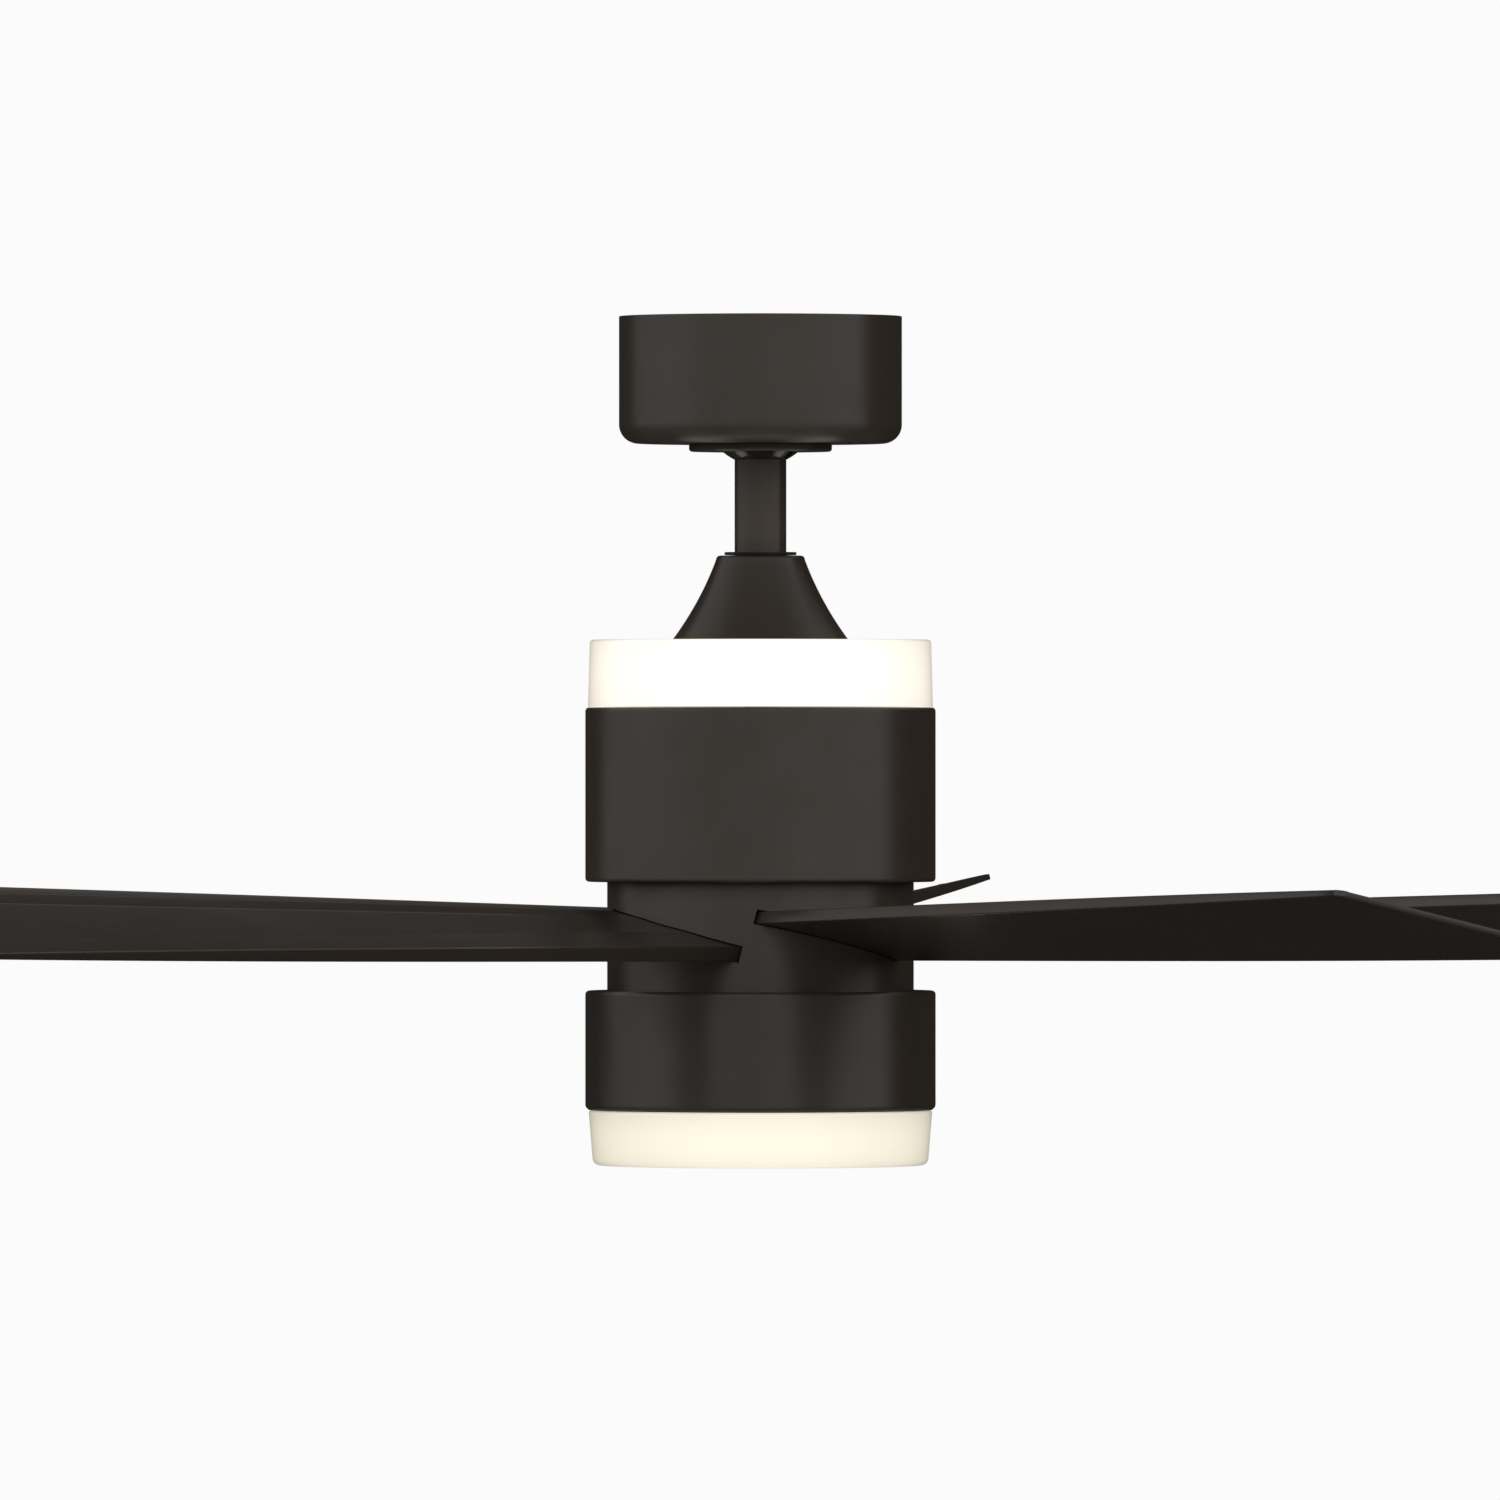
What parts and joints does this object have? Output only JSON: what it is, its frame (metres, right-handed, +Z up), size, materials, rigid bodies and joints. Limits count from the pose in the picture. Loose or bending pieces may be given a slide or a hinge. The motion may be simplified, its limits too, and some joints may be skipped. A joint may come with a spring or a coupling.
{
  "type": "ceiling fan with light",
  "caption": "Flat-bladed ceiling fan on a short downrod, with a glowing ring light above the motor housing and a dished opal light below it.",
  "frame": {"origin": "centre of the hanger bracket's top face, in the ceiling plane", "axes": "+Z up towards the ceiling, along the downrod and the blades' spin axis; +Y away from the front view"},
  "size_m": [1.2945, 1.2641, 0.438],
  "materials": {
    "bronze_housing": "satin",
    "bronze_rod": "satin",
    "bronze_blade": "matt",
    "opal_lens": "frosted opal, lit from inside",
    "zinc_steel": "zinc plated",
    "cast_aluminium": "as cast",
    "laminations": "varnished electrical steel",
    "copper_wire": "enamelled copper",
    "magnet": "ferrite",
    "black_rubber": "matt",
    "nylon": "natural",
    "black_plastic": "moulded",
    "board_white": "white solder mask",
    "green_screw": "green",
    "grey_lead": "insulation",
    "orange_cap": "moulded"
  },
  "bodies": {
    "ceiling_mount": {"hanger_bracket": "zinc_steel", "canopy": "bronze_housing", "canopy_trim_ring": "bronze_housing", "canopy_screw_1": "zinc_steel", "canopy_screw_2": "zinc_steel", "ground_screw": "green_screw", "remote_receiver": "black_plastic", "receiver_loom": "grey_lead", "wire_connector_1": "orange_cap", "wire_connector_2": "orange_cap", "wire_connector_3": "orange_cap"},
    "ball_liner": {"ball_seat_liner": "nylon"},
    "hanging": {"hanger_ball": "bronze_rod", "ball_cross_pin": "zinc_steel", "ball_set_screw": "zinc_steel", "downrod": "bronze_rod", "motor_leads": "black_rubber", "rod_seal": "black_rubber", "coupling_cover": "bronze_housing", "motor_coupling": "cast_aluminium", "coupling_pin": "zinc_steel", "coupling_hairpin": "zinc_steel", "coupling_set_screw_1": "zinc_steel", "coupling_set_screw_2": "zinc_steel", "uplight_lens": "opal_lens", "uplight_heat_plate": "cast_aluminium", "uplight_board": "board_white", "upper_housing": "bronze_housing", "housing_lock_nut": "zinc_steel", "motor_shaft": "zinc_steel", "stator_sleeve": "cast_aluminium", "stator_core": "laminations", "stator_winding": "copper_wire", "shaft_spacer": "zinc_steel", "lower_housing": "bronze_housing", "light_plate": "cast_aluminium", "shaft_nut": "zinc_steel", "led_driver": "black_plastic", "terminal_block": "nylon", "downlight_heat_sink": "cast_aluminium", "downlight_board": "board_white", "lens_ring": "black_plastic"},
    "rotor": {"upper_bearing": "zinc_steel", "lower_bearing": "zinc_steel", "rotor_upper_cover": "cast_aluminium", "rotor_lower_cover": "cast_aluminium", "magnet_ring": "magnet", "blade_hub": "cast_aluminium", "blade_drum": "bronze_housing", "blade_1": "bronze_blade", "blade_2": "bronze_blade", "blade_3": "bronze_blade", "blade_4": "bronze_blade", "blade_5": "bronze_blade", "blade_stud_plate_1": "zinc_steel", "blade_stud_plate_2": "zinc_steel", "blade_stud_plate_3": "zinc_steel", "blade_stud_plate_4": "zinc_steel", "blade_stud_plate_5": "zinc_steel"},
    "lens": {"downlight_lens": "opal_lens"}
  },
  "joints": [
    {"name": "ball_tilt_x", "type": "hinge", "parent": "ceiling_mount", "child": "ball_liner", "pos_m": [0, 0, -0.047], "axis": [1, 0, 0], "range_deg": [-12, 12]},
    {"name": "ball_tilt_y", "type": "hinge", "parent": "ball_liner", "child": "hanging", "pos_m": [0, 0, -0.047], "axis": [0, 1, 0], "range_deg": [-12, 12]},
    {"name": "fan_spin", "type": "hinge", "parent": "hanging", "child": "rotor", "pos_m": [0, 0, -0.3198], "axis": [0, 0, 1], "continuous": true},
    {"name": "lens_twist", "type": "hinge", "parent": "hanging", "child": "lens", "pos_m": [0, 0, -0.4112], "axis": [0, 0, 1], "range_deg": [-18, 0]}
  ]
}
